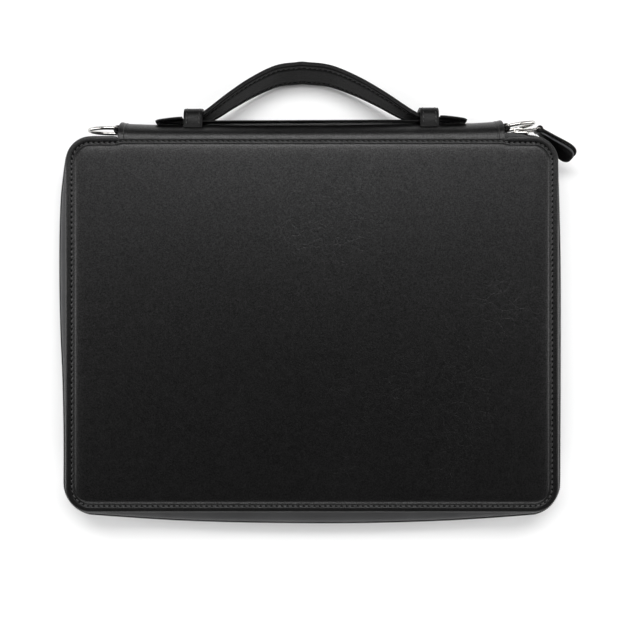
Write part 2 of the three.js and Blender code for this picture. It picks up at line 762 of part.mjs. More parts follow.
const pull = new THREE.Group();
pull.position.set(SLIDER_X, HINGE_Y, MIDDLE_Z);
pull.rotation.z = LINK_RISE;
addPiece(pull, "zip_pull_link", pullLink(), NICKEL);
const tab = addPiece(pull, "zip_pull_tab", pullTab(), EDGE_LEATHER);
tab.position.x = LINK_LENGTH;
tab.rotation.z = PULL_FALL - LINK_RISE;
documentCase.add(pull);

export default documentCase;
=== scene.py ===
import bpy
import json
import math
from mathutils import Matrix, Vector


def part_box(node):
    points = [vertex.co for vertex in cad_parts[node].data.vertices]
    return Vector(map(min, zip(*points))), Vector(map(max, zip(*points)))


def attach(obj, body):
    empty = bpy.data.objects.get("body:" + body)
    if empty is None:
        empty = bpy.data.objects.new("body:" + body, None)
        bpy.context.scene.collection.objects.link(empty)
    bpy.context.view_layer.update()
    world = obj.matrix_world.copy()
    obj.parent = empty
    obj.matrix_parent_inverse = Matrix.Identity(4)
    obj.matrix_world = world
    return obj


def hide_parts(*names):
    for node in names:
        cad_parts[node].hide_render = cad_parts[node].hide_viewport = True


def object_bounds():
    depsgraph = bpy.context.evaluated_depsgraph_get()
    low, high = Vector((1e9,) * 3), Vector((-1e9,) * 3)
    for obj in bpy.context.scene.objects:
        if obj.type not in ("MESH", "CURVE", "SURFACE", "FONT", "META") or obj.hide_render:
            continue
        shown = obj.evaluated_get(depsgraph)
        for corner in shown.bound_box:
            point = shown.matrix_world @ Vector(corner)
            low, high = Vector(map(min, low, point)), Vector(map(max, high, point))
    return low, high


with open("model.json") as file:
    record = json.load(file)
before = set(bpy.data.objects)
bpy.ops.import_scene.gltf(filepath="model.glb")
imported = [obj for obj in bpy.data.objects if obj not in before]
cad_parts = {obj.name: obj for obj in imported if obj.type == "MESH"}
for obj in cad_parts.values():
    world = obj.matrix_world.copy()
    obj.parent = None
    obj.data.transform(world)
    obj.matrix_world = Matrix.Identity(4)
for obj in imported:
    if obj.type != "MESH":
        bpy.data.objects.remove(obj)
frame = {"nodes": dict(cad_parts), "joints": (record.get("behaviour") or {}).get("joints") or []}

cad_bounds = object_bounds()

# CAMERA AND STUDIO
# The case lies on a white table and is looked at from straight above, from about 65 cm.
# One broad softbox beyond the handle lights the spine and the upper part of the cover.
scene = bpy.context.scene
bpy.ops.object.select_all(action="DESELECT")
front_low, front_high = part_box("front_board")
photo_pixels = 618
board_pixels = 494
board_middle_pixel = (312, 324.2)
camera_rise = 0.650
metre_per_pixel = (front_high[0] - front_low[0]) / board_pixels
view_width = metre_per_pixel * photo_pixels
camera_x = (photo_pixels / 2 - board_middle_pixel[0]) * metre_per_pixel
camera_y = (board_middle_pixel[1] - photo_pixels / 2) * metre_per_pixel
camera_z = front_high[2] + camera_rise
bpy.ops.object.camera_add(location=(camera_x, camera_y, camera_z), rotation=(0, 0, 0))
camera = bpy.context.object
camera.data.sensor_width = 36
camera.data.lens = camera.data.sensor_width * camera_rise / view_width
camera.data.clip_end = 20
scene.camera = camera
scene.view_settings.view_transform = "Standard"

bpy.ops.mesh.primitive_plane_add(size=6, location=(0, 0, cad_bounds[0][2]))
table = bpy.context.object
table.name = "table"


def new_finish(name, roughness):
    finish = bpy.data.materials.new(name)
    finish.use_nodes = True
    nodes, links = finish.node_tree.nodes, finish.node_tree.links
    shader = nodes["Principled BSDF"]
    shader.inputs["Roughness"].default_value = roughness
    return finish, nodes, links, shader


white_table, _, _, table_shader = new_finish("white_table", 0.9)
table_shader.inputs["Base Color"].default_value = (0.93, 0.93, 0.93, 1)
table.data.materials.append(white_table)


def softbox(name, place, size, power):
    bpy.ops.object.light_add(type="AREA", location=place)
    lamp = bpy.context.object
    lamp.name = name
    lamp.data.shape = "RECTANGLE"
    lamp.data.size = size[0]
    lamp.data.size_y = size[1]
    lamp.data.energy = power
    lamp.rotation_euler = (-Vector(place)).to_track_quat("-Z", "Y").to_euler()


softbox("far_softbox", (0, 1.0, 1.5), (1.8, 0.7), 31)
softbox("left_softbox", (-1.7, 0.1, 0.8), (0.8, 1.8), 21)
softbox("right_softbox", (1.7, 0.1, 0.8), (0.8, 1.8), 20)
softbox("near_softbox", (0, -1.6, 0.8), (2.2, 0.6), 19)
studio = bpy.data.worlds.new("studio")
studio.use_nodes = True
studio.node_tree.nodes["Background"].inputs["Color"].default_value = (1, 1, 1, 1)
studio.node_tree.nodes["Background"].inputs["Strength"].default_value = 0.05
scene.world = studio

# COVERS
# Two boards, each thinly padded and covered in smooth black calf. The leather is turned over
# the rim, and a saddle stitch all round holds it, with a creased line just inside the stitches.
mm = 0.001
inner_face = front_low[2]
cover_size = (front_high[0] - front_low[0], front_high[1] - front_low[1])
case_middle_z = (cad_bounds[0][2] + cad_bounds[1][2]) / 2
corner_radius = 18 * mm
inner_corner = Vector((cover_size[0] / 2 - corner_radius, cover_size[1] / 2 - corner_radius))
seam_inset = 4.6 * mm
corner_cuts = 24
turned_in = 0.7 * mm
board_wall = 1.5 * mm
spine_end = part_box("spine_wrap")[1][0]


def only(piece):
    bpy.ops.object.select_all(action="DESELECT")
    piece.select_set(True)
    bpy.context.view_layer.objects.active = piece


def select_where(piece, kind, test):
    bpy.ops.object.mode_set(mode="EDIT")
    bpy.ops.mesh.select_mode(type=kind)
    bpy.ops.mesh.select_all(action="DESELECT")
    bpy.ops.object.mode_set(mode="OBJECT")
    mesh = piece.data
    items = {"VERT": mesh.vertices, "EDGE": mesh.edges, "FACE": mesh.polygons}[kind]
    for item in items:
        item.select = test(item)
    bpy.ops.object.mode_set(mode="EDIT")


def edge_span(mesh, edge):
    start, end = (mesh.vertices[i].co for i in edge.vertices)
    return end - start


def smoothstep(low, high, value):
    share = min(max((value - low) / (high - low), 0), 1)
    return share * share * (3 - 2 * share)


# Inset from the edge and height over the board's inner face, in millimetres
rim_to_panel = [
    (0.12, 2.6), (0.42, 2.95), (0.9, 3.12), (1.5, 3.18), (2.3, 3.17), (3.1, 3.1), (3.8, 2.96),
    (4.3, 2.8), (4.6, 2.74), (4.9, 2.8), (5.4, 2.93), (5.95, 3.02), (6.35, 3.0), (6.6, 2.86),
    (6.85, 2.98), (7.4, 3.2), (8.4, 3.38), (10.1, 3.5), (13, 3.57), (16.5, 3.6),
]


def spine_shift(point):
    """Along the spine the rim is drawn in under it and the seam lies further out, as it fades
    over the panel and past the spine's ends"""
    inset = cover_size[1] / 2 - point.y
    if inset > 20 * mm:
        return 0
    reach = abs(point.x)
    edge = 1 - smoothstep(spine_end + 0.1 * mm, spine_end + 2.4 * mm, reach)
    seam = 1 - smoothstep(spine_end - 2.5 * mm, spine_end + 4 * mm, reach)
    blend = min(inset / seam_inset, 1)
    along = edge + (seam - edge) * blend
    share = 1.5 * blend - 1
    fade = 1 - smoothstep(9 * mm, 16.4 * mm, inset)
    return 2.6 * mm * share * along * fade


def padded_cover(name):
    bpy.ops.mesh.primitive_plane_add(size=1, location=(0, 0, inner_face + turned_in))
    piece = bpy.context.object
    piece.name = name
    bpy.ops.transform.resize(value=(cover_size[0], cover_size[1], 1))
    bpy.ops.object.transform_apply(location=True, rotation=True, scale=True)
    bpy.ops.object.mode_set(mode="EDIT")
    bpy.ops.mesh.bevel(offset=corner_radius, segments=corner_cuts, affect="VERTICES")
    bpy.ops.mesh.delete(type="ONLY_FACE")
    # Points about 0.95 mm apart along the sides, four to a stitch
    for axis, cuts in ((0, (7, 40)), (1, (3, 60))):

        def is_straight(edge):
            span = edge_span(piece.data, edge)
            return abs(span[axis]) > 2 * mm and abs(span[1 - axis]) < 1e-6

        for cut in cuts:
            bpy.ops.object.mode_set(mode="OBJECT")
            select_where(piece, "EDGE", is_straight)
            bpy.ops.mesh.subdivide(number_cuts=cut)
    bpy.ops.mesh.select_all(action="SELECT")
    bpy.ops.mesh.edge_face_add()
    bpy.ops.mesh.extrude_region_move(TRANSFORM_OT_translate={"value": (0, 0, board_wall)})
    bpy.ops.mesh.select_all(action="SELECT")
    bpy.ops.mesh.normals_make_consistent(inside=False)
    bpy.ops.object.mode_set(mode="OBJECT")
    top = max(piece.data.polygons, key=lambda f: f.center.z).index
    select_where(piece, "FACE", lambda f: f.index == top)
    inset, height = 0, (turned_in + board_wall) / mm
    for next_inset, next_height in rim_to_panel:
        bpy.ops.mesh.inset(thickness=(next_inset - inset) * mm, depth=(next_height - height) * mm)
        inset, height = next_inset, next_height
    bpy.ops.object.mode_set(mode="OBJECT")
    bottom = min(piece.data.polygons, key=lambda f: f.center.z).index
    select_where(piece, "FACE", lambda f: f.index == bottom)
    bpy.ops.mesh.inset(thickness=1 * mm, depth=turned_in)
    bpy.ops.object.mode_set(mode="OBJECT")
    return piece


def edge_run(point, inset):
    """How far round a rounded rectangle a point lies, from the middle of the right side"""
    half = inner_corner
    radius = corner_radius - inset
    x, y = abs(point.x), abs(point.y)
    if x > half.x and y > half.y:
        quarter = half.y + radius * math.atan2(y - half.y, x - half.x)
    elif x > half.x:
        quarter = y
    else:
        quarter = half.y + radius * math.pi / 2 + half.x - x
    whole = half.y + radius * math.pi / 2 + half.x
    if point.x >= 0:
        return quarter if point.y >= 0 else 4 * whole - quarter
    return 2 * whole - quarter if point.y >= 0 else 2 * whole + quarter


front_cover = padded_cover("front_cover")

# The three rows of points in the seam's groove, each in order round the cover
seam_rings = {}
for ring, inset, height in (("outer", 4.3, 2.8), ("seam", 4.6, 2.74), ("inner", 4.9, 2.8)):
    level = inner_face + height * mm
    found = []
    for vertex in front_cover.data.vertices:
        point = vertex.co
        if abs(point.z - level) > 0.004 * mm:
            continue
        over = Vector((max(abs(point.x) - inner_corner.x, 0), max(abs(point.y) - inner_corner.y, 0)))
        if abs(corner_radius - over.length - inset * mm) < 0.1 * mm:
            found.append((edge_run(point, inset * mm), vertex.index))
    seam_rings[ring] = [index for run, index in sorted(found)]

# An awl hole at every fourth point, slanted across the groove
stitch_steps = 4
hole_depth = 0.8 * mm
hole_vertices = set()
for number, index in enumerate(seam_rings["seam"]):
    if number % stitch_steps == 0:
        outer, inner = seam_rings["outer"][number], seam_rings["inner"][number - 1]
        for corner, share in ((index, 1), (outer, 0.85), (inner, 0.9)):
            hole_vertices.add(corner)
            front_cover.data.vertices[corner].co.z -= hole_depth * share

for vertex in front_cover.data.vertices:
    if vertex.co.y > 0:
        vertex.co.y += spine_shift(vertex.co)
only(front_cover)
bpy.ops.object.shade_smooth_by_angle(angle=math.radians(50))


def turned_over(piece, name):
    only(piece)
    bpy.ops.object.duplicate()
    copy = bpy.context.object
    copy.name = name
    bpy.ops.object.mode_set(mode="EDIT")
    bpy.ops.mesh.select_all(action="SELECT")
    bpy.ops.transform.mirror(
        orient_type="GLOBAL", constraint_axis=(False, False, True),
        center_override=(0, 0, case_middle_z),
    )
    bpy.ops.mesh.normals_make_consistent(inside=False)
    bpy.ops.object.mode_set(mode="OBJECT")
    return copy


back_cover = turned_over(front_cover, "back_cover")
for piece, node in ((front_cover, "front_board"), (back_cover, "back_board")):
    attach(piece, "case")
    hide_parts(node)


def noise(nodes, scale, detail=4, roughness=0.55, distortion=0):
    texture = nodes.new("ShaderNodeTexNoise")
    texture.inputs["Scale"].default_value = scale
    texture.inputs["Detail"].default_value = detail
    texture.inputs["Roughness"].default_value = roughness
    texture.inputs["Distortion"].default_value = distortion
    return texture


def spread(nodes, links, source, low, high, to_low, to_high):
    """A value stretched from one span to another"""
    node = nodes.new("ShaderNodeMapRange")
    node.inputs["From Min"].default_value = low
    node.inputs["From Max"].default_value = high
    node.inputs["To Min"].default_value = to_low
    node.inputs["To Max"].default_value = to_high
    links.new(source, node.inputs["Value"])
    return node.outputs["Result"]


def joined(nodes, links, kind, first, second):
    node = nodes.new("ShaderNodeMath")
    node.operation = kind
    for slot, value in zip(node.inputs, (first, second)):
        if isinstance(value, (int, float)):
            slot.default_value = value
        else:
            links.new(value, slot)
    return node.outputs[0]


def relief(nodes, links, height, depth, under=None):
    bump = nodes.new("ShaderNodeBump")
    bump.inputs["Strength"].default_value = 1
    bump.inputs["Distance"].default_value = depth
    links.new(height, bump.inputs["Height"])
    if under:
        links.new(under, bump.inputs["Normal"])
    return bump.outputs["Normal"]


def two_tone(nodes, links, pattern, dark, light, start=0):
    """A colour between two that follows a pattern's value"""
    ramp = nodes.new("ShaderNodeValToRGB")
    ramp.color_ramp.elements[0].position = start
    ramp.color_ramp.elements[0].color = (*dark, 1)
    ramp.color_ramp.elements[1].color = (*light, 1)
    links.new(pattern, ramp.inputs["Fac"])
    return ramp.outputs["Color"]


def black_leather(name, colour, roughness, pebble, veins, gloss):
    """Dyed calf: fine pebbled grain, cloudy dye, and faint wrinkles where the hide has creased"""
    finish, nodes, links, shader = new_finish(name, roughness)
    place = nodes.new("ShaderNodeTexCoord").outputs["Object"]
    clouds = noise(nodes, 24, 6, 0.6)
    mottle = noise(nodes, 190, 5, 0.65)
    grain = nodes.new("ShaderNodeTexVoronoi")
    grain.feature = "DISTANCE_TO_EDGE"
    grain.inputs["Scale"].default_value = 1150
    pores = noise(nodes, 2600, 3)
    wander = noise(nodes, 30, 4)
    creases = nodes.new("ShaderNodeTexVoronoi")
    creases.feature = "DISTANCE_TO_EDGE"
    creases.inputs["Scale"].default_value = 105
    patches = noise(nodes, 13, 2)
    for texture in (clouds, mottle, grain, pores, wander, patches):
        links.new(place, texture.inputs["Vector"])
    bent = nodes.new("ShaderNodeMix")
    bent.data_type = "VECTOR"
    bent.inputs["Factor"].default_value = 0.035
    links.new(place, bent.inputs[4])
    links.new(wander.outputs["Color"], bent.inputs[5])
    links.new(bent.outputs[1], creases.inputs["Vector"])
    line = spread(nodes, links, creases.outputs["Distance"], 0.0, 0.05, 1, 0)
    patch = spread(nodes, links, patches.outputs["Fac"], 0.53, 0.68, 0, 1)
    wrinkle = joined(nodes, links, "MULTIPLY", line, patch)
    mottling = spread(nodes, links, mottle.outputs["Fac"], 0.3, 0.7, -0.25, 0.25)
    shade = joined(nodes, links, "ADD", clouds.outputs["Fac"], mottling)
    shade = joined(nodes, links, "ADD", shade, joined(nodes, links, "MULTIPLY", wrinkle, 0.7 * veins))
    dark, light = [0.55 * c for c in colour], [1.7 * c for c in colour]
    links.new(two_tone(nodes, links, shade, dark, light, 0.1), shader.inputs["Base Color"])
    worn = spread(nodes, links, mottle.outputs["Fac"], 0.3, 0.7, roughness - 0.012, roughness + 0.018)
    links.new(worn, shader.inputs["Roughness"])
    specks = noise(nodes, 1150, 2, 0.7)
    links.new(place, specks.inputs["Vector"])
    glints = spread(nodes, links, specks.outputs["Fac"], 0.32, 0.68, 0.55 * gloss, 1.45 * gloss)
    links.new(glints, shader.inputs["Specular IOR Level"])
    pebbles = spread(nodes, links, grain.outputs["Distance"], 0, 0.25, 0, 1)
    height = joined(nodes, links, "ADD", pebbles, pores.outputs["Fac"])
    normal = relief(nodes, links, height, pebble)
    normal = relief(nodes, links, mottle.outputs["Fac"], 0.02 * mm, normal)
    if veins:
        normal = relief(nodes, links, wrinkle, -0.09 * mm * veins, normal)
    links.new(normal, shader.inputs["Normal"])
    return finish


def dressed(piece, finish):
    piece.data.materials.clear()
    piece.data.materials.append(finish)


pebble_height = 0.03 * mm
cover_leather = black_leather(
    "cover_leather", (0.0016, 0.0015, 0.0016), 0.34, pebble_height, veins=0.5, gloss=0.34,
)
# A much darker, duller leather for the faces round each awl hole: painted shade in the holes
hole_shade_leather = black_leather(
    "hole_shade_leather", (0.0006, 0.0006, 0.0006), 0.6, pebble_height, veins=0, gloss=0.08,
)
for cover in (front_cover, back_cover):
    dressed(cover, cover_leather)
    cover.data.materials.append(hole_shade_leather)
    # Every face that touches an awl hole takes the darker leather, which paints the shade in the hole
    for face in cover.data.polygons:
        if hole_vertices.intersection(face.vertices):
            face.material_index = 1


def waxed_thread():
    """Black linen thread, waxed, with its twist and a little fluff"""
    finish, nodes, links, shader = new_finish("waxed_thread", 0.38)
    place = nodes.new("ShaderNodeTexCoord").outputs["Object"]
    twist = nodes.new("ShaderNodeTexWave")
    twist.bands_direction = "DIAGONAL"
    twist.inputs["Scale"].default_value = 700
    fluff = noise(nodes, 900, 4)
    for texture in (twist, fluff):
        links.new(place, texture.inputs["Vector"])
    colour = two_tone(nodes, links, fluff.outputs["Fac"], (0.009, 0.009, 0.009), (0.035, 0.034, 0.034))
    links.new(colour, shader.inputs["Base Color"])
    links.new(relief(nodes, links, twist.outputs["Fac"], 0.06 * mm), shader.inputs["Normal"])
    return finish


# One short slanted stitch, copied from hole to hole
stitch_length = 2.6 * mm
thread_size = (0.7 * mm, 0.55 * mm)
stitch_slant = math.radians(13)
bpy.ops.mesh.primitive_uv_sphere_add(
    segments=8, ring_count=6, radius=0.5, rotation=(0, math.radians(90), 0),
)
one_stitch = bpy.context.object
bpy.ops.transform.resize(value=(stitch_length, thread_size[0], thread_size[1]))
bpy.ops.object.transform_apply(location=True, rotation=True, scale=True)
bpy.ops.object.shade_smooth()
dressed(one_stitch, waxed_thread())


def copied_along(model, name, matrices):
    """Copies of one small model, each put in its place and all joined as one piece"""
    copies = []
    for matrix in matrices:
        copy = model.copy()
        copy.data = model.data.copy()
        bpy.context.collection.objects.link(copy)
        copy.data.transform(matrix)
        copies.append(copy)
    bpy.ops.object.select_all(action="DESELECT")
    for copy in copies:
        copy.select_set(True)
    bpy.context.view_layer.objects.active = copies[0]
    bpy.ops.object.join()
    row = bpy.context.object
    row.name = name
    return row


def sewn_row(name, places, scale=1):
    """Stitches at places: each a middle point, the way of the row and the way out of the leather"""
    turns = []
    for middle, along, out in places:
        along, out = along.normalized(), out.normalized()
        side = out.cross(along).normalized()
        out = along.cross(side)
        turn = Matrix((along, side, out)).transposed().to_4x4()
        slant = Matrix.Rotation(stitch_slant, 4, "Z")
        turns.append(Matrix.Translation(middle) @ turn @ slant @ Matrix.Scale(scale, 4))
    return copied_along(one_stitch, name, turns)


seam = [front_cover.data.vertices[i].co.copy() for i in seam_rings["seam"]]
seam_places = []
for start in range(0, len(seam), stitch_steps):
    ends = seam[start], seam[(start + stitch_steps) % len(seam)]
    middle = (ends[0] + ends[1]) / 2
    middle.z = seam[start + 1].z + 0.02 * mm
    along = ends[1] - ends[0]
    along.z = 0
    seam_places.append((middle, along, Vector((0, 0, 1))))
front_stitches = sewn_row("front_stitches", seam_places)
back_stitches = turned_over(front_stitches, "back_stitches")
for stitches in (front_stitches, back_stitches):
    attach(stitches, "case")

# GUSSET
# Two strips of black woven tape, one sewn under the rim of each cover, that join at the zip.
# The cloth bows outwards along the sides and the foot, and puckers a little at its seam.
tape_wall = 0.8 * mm
tape_inset = 2.5 * mm
tape_tuck = 6 * mm
station_step = 2.4 * mm
# Shares of the tape's reach out and of its drop, from its seam to the zip
tape_line = [(0, 0), (0.03, 0.12), (0.08, 0.26), (0.17, 0.38), (0.32, 0.5), (0.52, 0.61),
             (0.72, 0.71), (0.87, 0.8), (0.96, 0.9), (1, 1)]


def smooth_line(points, step):
    """Points at an even step along a smooth curve through the given ones"""
    line = []
    for i in range(len(points) - 1):
        before = points[max(i - 1, 0)]
        start, end = points[i], points[i + 1]
        after = points[min(i + 2, len(points) - 1)]
        cuts = max(round((end - start).length / step), 1)
        for k in range(cuts):
            t = k / cuts
            line.append(
                0.5 * (2 * start + (end - before) * t + (2 * before - 5 * start + 4 * end - after) * t * t
                       + (3 * start - before - 3 * end + after) * t ** 3)
            )
    line.append(points[-1].copy())
    return line


def chain_middle():
    """The frame chain's own middle line, from the spine's left end round to its right end"""
    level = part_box("zip_chain")[1][2]
    rim = {}
    for vertex in frame["nodes"]["zip_chain"].data.vertices:
        if vertex.co.z > level - 0.01 * mm:
            rim[(round(vertex.co.x, 6), round(vertex.co.y, 6))] = None
    ordered = sorted(rim, key=lambda p: (math.atan2(p[0], -p[1]) + 2 * math.pi) % (2 * math.pi))
    split = max(range(len(ordered)), key=lambda i: math.dist(ordered[i - 1], ordered[i]))
    ordered = ordered[split:] + ordered[:split]
    pairs = [(ordered[i], ordered[i + 1]) for i in range(0, len(ordered) - 1, 2)]
    return [Vector(((a[0] + b[0]) / 2, (a[1] + b[1]) / 2, 0)) for a, b in pairs]


def edge_foot(point):
    """The covers' edge nearest to a point, the way out of the case there, and how far out the point is"""
    limit = inner_corner
    core = Vector((min(max(point.x, -limit.x), limit.x), min(max(point.y, -limit.y), limit.y), 0))
    out = Vector((point.x - core.x, point.y - core.y, 0))
    reach = out.length
    out.normalize()
    return core + out * corner_radius, out, reach - corner_radius


chain_points = chain_middle()
if chain_points[0].x > 0:
    chain_points.reverse()

# Beside the slider the closed zip lies higher, up against the spine's end
zip_rises = ((2 * mm, 147 * mm, 158 * mm), (1 * mm, 142 * mm, 152 * mm))
for point in chain_points:
    if point.x > 0 and point.y > 130 * mm:
        for rise, start, end in zip_rises:
            point.y += rise * (1 - smoothstep(start, end, point.x))

chain_line = smooth_line(chain_points, station_step)
tape_end = spine_end - tape_tuck
tape_start = Vector((-tape_end, chain_points[0].y, 0))
tape_stop = Vector((tape_end, chain_points[-1].y, 0))
tape_route = smooth_line([tape_start] + chain_points + [tape_stop], station_step)
tape_route_length = sum((b - a).length for a, b in zip(tape_route, tape_route[1:]))
zip_half = (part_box("zip_chain")[1][2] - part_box("zip_chain")[0][2]) / 2
tape_top = inner_face - 0.3 * mm


def laid_grid(name, columns, rows, surface):
    """A grid of leather or cloth laid on a surface, which is given as a place for each share"""
    bpy.ops.mesh.primitive_grid_add(x_subdivisions=columns, y_subdivisions=rows, size=1)
    piece = bpy.context.object
    piece.name = name
    for vertex in piece.data.vertices:
        vertex.co = surface(vertex.co.x + 0.5, vertex.co.y + 0.5)
    return piece


def at_share(row, share):
    place = share * (len(row) - 1)
    first = min(int(place), len(row) - 2)
    return row[first].lerp(row[first + 1], place - first)


def tape_surface(share, down):
    foot, out, bulge = edge_foot(at_share(tape_route, share))
    reach_share, drop = at_share([Vector((*p, 0)) for p in tape_line], down)[:2]
    reach = -tape_inset + (bulge + tape_inset) * reach_share
    run = share * tape_route_length
    pucker = math.sin(math.pi * min(down * 1.15, 1)) ** 2
    ripple = (0.22 * math.sin(run / (2.9 * mm)) + 0.16 * math.sin(run / (7.3 * mm) + 1.3)
              + 0.2 * math.sin(run / (19 * mm) + 0.4))
    reach += pucker * ripple * mm * 0.8
    z = tape_top + (case_middle_z + zip_half + 0.3 * mm - tape_top) * drop
    place = foot + out * (reach - tape_wall / 2)
    return Vector((place.x, place.y, z))


def woven_tape():
    """Fine twill seen along the tape, over its own map"""
    finish, nodes, links, shader = new_finish("woven_tape", 0.8)
    own_map = nodes.new("ShaderNodeTexCoord").outputs["UV"]
    sized = nodes.new("ShaderNodeMapping")
    sized.inputs["Scale"].default_value = (tape_route_length / mm, 17, 1)
    links.new(own_map, sized.inputs["Vector"])
    threads = []
    for direction, scale in (("X", 0.42), ("Y", 0.55), ("DIAGONAL", 0.34)):
        texture = nodes.new("ShaderNodeTexWave")
        texture.bands_direction = direction
        texture.inputs["Scale"].default_value = scale
        texture.inputs["Distortion"].default_value = 0.3
        links.new(sized.outputs["Vector"], texture.inputs["Vector"])
        threads.append(texture.outputs["Fac"])
    weft, warp, twill = threads
    fluff = noise(nodes, 1400, 4)
    dust = noise(nodes, 60, 5)
    place = nodes.new("ShaderNodeTexCoord").outputs["Object"]
    links.new(place, fluff.inputs["Vector"])
    links.new(place, dust.inputs["Vector"])
    cloth = joined(nodes, links, "ADD", joined(nodes, links, "MULTIPLY", weft, warp), twill)
    dusty = joined(nodes, links, "MULTIPLY", dust.outputs["Fac"], 0.5)
    shade = joined(nodes, links, "ADD", joined(nodes, links, "MULTIPLY", cloth, 0.35), dusty)
    colour = two_tone(nodes, links, shade, (0.008, 0.008, 0.0085), (0.05, 0.05, 0.052))
    links.new(colour, shader.inputs["Base Color"])
    normal = relief(nodes, links, cloth, 0.12 * mm)
    links.new(relief(nodes, links, fluff.outputs["Fac"], 0.05 * mm, normal), shader.inputs["Normal"])
    shader.inputs["Sheen Weight"].default_value = 0.25
    shader.inputs["Sheen Roughness"].default_value = 0.4
    return finish


def finish_with(piece, kind, **sizes):
    only(piece)
    modifier = piece.modifiers.new(kind.lower(), kind)
    for size, value in sizes.items():
        setattr(modifier, size, value)
    bpy.ops.object.modifier_apply(modifier=modifier.name)


def sewn_into(piece, body, slot, *nodes):
    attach(piece, body)
    if nodes:
        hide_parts(*nodes)


def facing_out(piece):
    only(piece)
    bpy.ops.object.mode_set(mode="EDIT")
    bpy.ops.mesh.select_all(action="SELECT")
    bpy.ops.mesh.normals_make_consistent(inside=False)
    bpy.ops.object.mode_set(mode="OBJECT")


front_tape = laid_grid("front_tape", 760, 18, tape_surface)
finish_with(front_tape, "SOLIDIFY", thickness=tape_wall, offset=0)
facing_out(front_tape)
bpy.ops.object.shade_smooth_by_angle(angle=math.radians(60))
dressed(front_tape, woven_tape())
back_tape = turned_over(front_tape, "back_tape")

# Each tape is attached to the case, and its frame part is hidden
for tape, node, cover in (
    (front_tape, "zip_tape_front", "front_cover"), (back_tape, "zip_tape_back", "back_cover"),
):
    sewn_into(tape, "case", "tape_cloth", node)

# ZIP CHAIN
# A spiral nylon zip: two coils locked into each other and sewn to the tapes' edges, with a
# raised bead of tape along each side of them.
coil_pitch = 1.32 * mm
tooth_half, tooth_depth = 2.35 * mm, 1.1 * mm
tooth_wire = 0.42 * mm
tooth_tilt = math.radians(9)
tooth_shift, tooth_out = 0.5 * mm, 0.25 * mm
wire_share = 0.36
bead_points = 16
bead_depth = 0.75 * mm


def spaced(line, step):
    """Places at an even step along a line, with the way along it"""
    places, left = [], 0
    for start, end in zip(line, line[1:]):
        length = (end - start).length
        while left <= length:
            places.append((start.lerp(end, left / length), (end - start).normalized()))
            left += step
        left -= length
    return places


def black_nylon():
    finish, nodes, links, shader = new_finish("black_nylon", 0.4)
    place = nodes.new("ShaderNodeTexCoord").outputs["Object"]
    wear = noise(nodes, 350, 4)
    links.new(place, wear.inputs["Vector"])
    colour = two_tone(nodes, links, wear.outputs["Fac"], (0.0025, 0.0025, 0.0025), (0.008, 0.008, 0.008))
    links.new(colour, shader.inputs["Base Color"])
    links.new(spread(nodes, links, wear.outputs["Fac"], 0.3, 0.7, 0.3, 0.5), shader.inputs["Roughness"])
    links.new(relief(nodes, links, wear.outputs["Fac"], 0.05 * mm), shader.inputs["Normal"])
    shader.inputs["Specular IOR Level"].default_value = 0.2
    return finish


def lofted(name, columns, section, surface):
    """A strip with the same outline all along it, given as (across, out) places, closed at its ends"""
    rows = len(section)

    def place(share, turn):
        return surface(share, *section[round(turn * rows) % rows])

    piece = laid_grid(name, columns, rows, place)
    only(piece)
    bpy.ops.object.mode_set(mode="EDIT")
    bpy.ops.mesh.select_mode(type="EDGE")
    bpy.ops.mesh.select_all(action="SELECT")
    bpy.ops.mesh.remove_doubles(threshold=0.002 * mm)
    bpy.ops.mesh.select_all(action="DESELECT")
    bpy.ops.mesh.select_non_manifold()
    bpy.ops.mesh.fill()
    bpy.ops.object.mode_set(mode="OBJECT")
    facing_out(piece)
    bpy.ops.object.shade_smooth_by_angle(angle=math.radians(45))
    return piece


def bead_surface(share, across, out_by):
    foot, out, bulge = edge_foot(at_share(chain_line, share))
    place = foot + out * (bulge + out_by)
    return Vector((place.x, place.y, case_middle_z + across))


nylon = black_nylon()
bead_section = []
for step in range(bead_points):
    angle = 2 * math.pi * step / bead_points
    rounded = math.copysign(abs(math.cos(angle)) ** 0.7, math.cos(angle))
    bead_section.append(((zip_half - 0.1 * mm) * rounded, bead_depth * math.sin(angle) - 0.15 * mm))
chain_cord = lofted("chain_cord", 620, bead_section, bead_surface)
dressed(chain_cord, nylon)
sewn_into(chain_cord, "case", "coil_nylon", "zip_chain")

bpy.ops.mesh.primitive_torus_add(
    major_segments=10, minor_segments=5, major_radius=1, minor_radius=wire_share,
    rotation=(0, math.radians(90), 0),
)
one_tooth = bpy.context.object
bpy.ops.transform.resize(value=(tooth_wire / wire_share, tooth_depth, tooth_half))
bpy.ops.object.transform_apply(location=True, rotation=True, scale=True)
bpy.ops.object.shade_smooth()
dressed(one_tooth, nylon)
tooth_turns = []
for number, (place, along) in enumerate(spaced(chain_line, coil_pitch / 2)):
    foot, out, bulge = edge_foot(place)
    middle = foot + out * (bulge + tooth_out)
    sense = 1 if number % 2 else -1
    middle.z = case_middle_z + sense * tooth_shift
    turn = Matrix((along, out, Vector((0, 0, 1)))).transposed().to_4x4()
    tilt = Matrix.Rotation(sense * tooth_tilt, 4, "Y")
    tooth_turns.append(Matrix.Translation(middle) @ turn @ tilt)
coil = copied_along(one_tooth, "zip_coil", tooth_turns)
bpy.data.objects.remove(one_tooth)
sewn_into(coil, "case", "coil_nylon")

# SPINE
# One piece of the cover leather runs from cover to cover round the back of the case. Its two
# ends are turned in over a cord and sewn down, which leaves a raised hem at each end.
spine_wall = 2.2 * mm
spine_half = case_middle_z - 0.5 * mm
spine_left, spine_right = -spine_end - 1.2 * mm, spine_end + 0.2 * mm
hem_length = 3.9 * mm
hem_reach = 4.4 * mm
spine_facets = 22
end_length, end_share = 8 * mm, 0.06
hem_stitch_turn = 0.124


